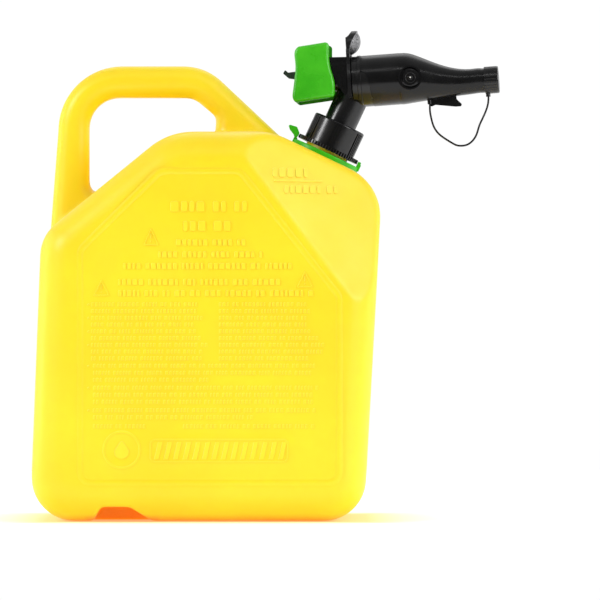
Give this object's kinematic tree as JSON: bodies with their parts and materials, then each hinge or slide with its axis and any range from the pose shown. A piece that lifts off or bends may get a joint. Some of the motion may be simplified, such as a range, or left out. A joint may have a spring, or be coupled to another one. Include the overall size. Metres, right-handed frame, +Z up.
{
  "type": "safety gas can",
  "caption": "Upright moulded fuel can with a loop handle, a screw collar with ratchet lock, and an angled spout whose spring-closed valve opens when the button is pushed.",
  "frame": {"origin": "on the flat underside of the can, at mid depth, about the middle of its width", "axes": "+Z up; +X towards the pouring side, where the neck leans; -Y is the face with the raised ring and bar"},
  "size_m": [0.4141, 0.2408, 0.4341],
  "materials": {
    "can_yellow": "blow-moulded polyethylene, satin with fine grain",
    "lock_green": "moulded plastic, satin",
    "button_green": "moulded plastic, satin",
    "spout_black": "moulded plastic, satin",
    "latch_dark": "moulded plastic, satin",
    "rubber_black": "seal rubber, matt",
    "acetal_white": "natural acetal",
    "spring_steel": "bright spring wire and pins"
  },
  "bodies": {
    "can": {"can_body": "can_yellow", "lock_ring": "lock_green"},
    "tab": {"release_tab": "lock_green"},
    "seal": {"neck_gasket": "rubber_black"},
    "collar": {"screw_collar": "spout_black"},
    "spout": {"elbow_body": "spout_black", "nozzle_shell": "spout_black", "shell_seal": "rubber_black", "finger_shield": "spout_black", "valve_seat": "acetal_white", "vent_tube": "acetal_white", "stem_bush": "acetal_white", "stem_seal": "rubber_black", "return_spring": "spring_steel", "cap_tether": "spout_black"},
    "button": {"control_button": "button_green", "latch_pin": "spring_steel", "valve_stem": "acetal_white", "stem_clip": "spring_steel", "valve_poppet": "acetal_white", "poppet_seal": "rubber_black"},
    "latch": {"safety_latch": "latch_dark"},
    "cap": {"end_cap": "spout_black"}
  },
  "joints": [
    {"name": "spout_lift", "type": "slide", "parent": "can", "child": "seal", "axis": [0.4226, 0, 0.9063], "range_m": [0, 0.01]},
    {"name": "collar_turn", "type": "hinge", "parent": "seal", "child": "collar", "pos_m": [0.11895, 0, 0.33858], "axis": [0.4226, 0, 0.9063], "range_deg": [0, 720]},
    {"name": "spout_swivel", "type": "hinge", "parent": "seal", "child": "spout", "pos_m": [0.12318, 0, 0.34765], "axis": [0.4226, 0, 0.9063], "continuous": true},
    {"name": "button_push", "type": "slide", "parent": "spout", "child": "button", "axis": [0.9945, -0.0762, 0.0712], "range_m": [0, 0.011], "stiffness_N_per_m": 1200, "deforming": ["return_spring"]},
    {"name": "latch_tilt", "type": "hinge", "parent": "button", "child": "latch", "pos_m": [0.09775, 0.00386, 0.39753], "axis": [-0.079, -0.9962, 0.0368], "range_deg": [0, 6], "stiffness_Nm_per_rad": 0.02},
    {"name": "tab_flex", "type": "hinge", "parent": "can", "child": "tab", "pos_m": [0.08419, 0, 0.3394], "axis": [0, -1, 0], "range_deg": [0, 8], "stiffness_Nm_per_rad": 0.5},
    {"name": "cap_pull", "type": "slide", "parent": "spout", "child": "cap", "axis": [0.9945, -0.0762, 0.0712], "range_m": [0, 0.03], "deforming": ["cap_tether"]}
  ],
  "couplings": [
    {"joint": "collar_turn", "follows": "spout_lift", "rad_per_m": 1256.6}
  ]
}
